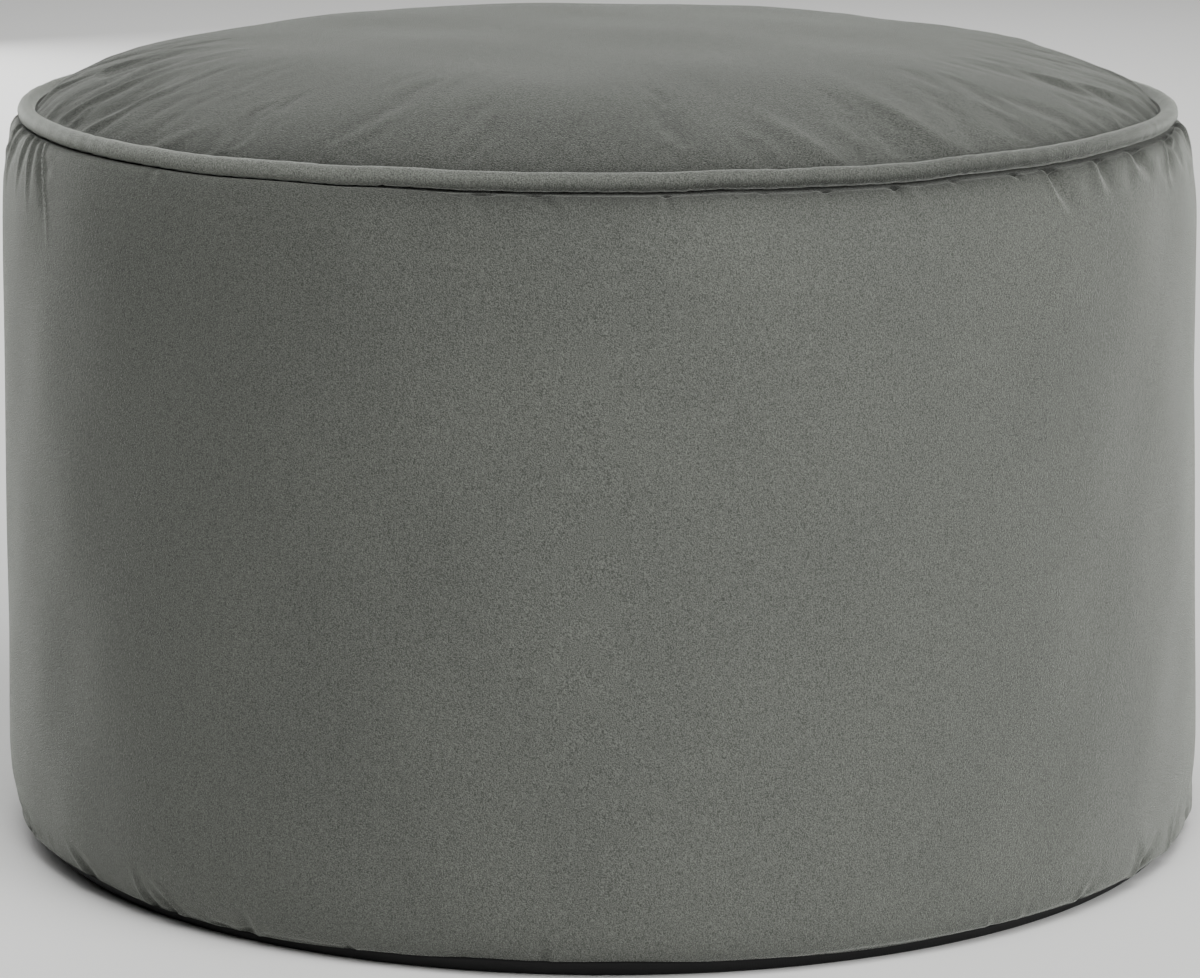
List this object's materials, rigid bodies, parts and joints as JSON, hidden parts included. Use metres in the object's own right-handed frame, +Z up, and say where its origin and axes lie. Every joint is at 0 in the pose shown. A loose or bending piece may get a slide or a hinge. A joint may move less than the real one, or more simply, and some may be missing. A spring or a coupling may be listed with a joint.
{
  "type": "bean bag footstool",
  "caption": "Round drum-shaped footstool of grey velvet, filled with beads, with a piped crowned top and a black base panel.",
  "frame": {"origin": "on the floor, under the middle of the footstool", "axes": "+Z up; -Y is the side that faces the viewer and +X is to the viewer's right"},
  "size_m": [0.4999, 0.4998, 0.3318],
  "materials": {
    "grey_velvet": "short-pile velvet",
    "grey_velvet_on_the_bias": "short-pile velvet, cut on the bias and wrapped round a cord",
    "black_base_cloth": "matte black synthetic base cloth"
  },
  "bodies": {
    "root": {"base_panel": "black_base_cloth", "side_panel": "grey_velvet", "top_panel": "grey_velvet", "piping": "grey_velvet_on_the_bias"}
  },
  "joints": []
}
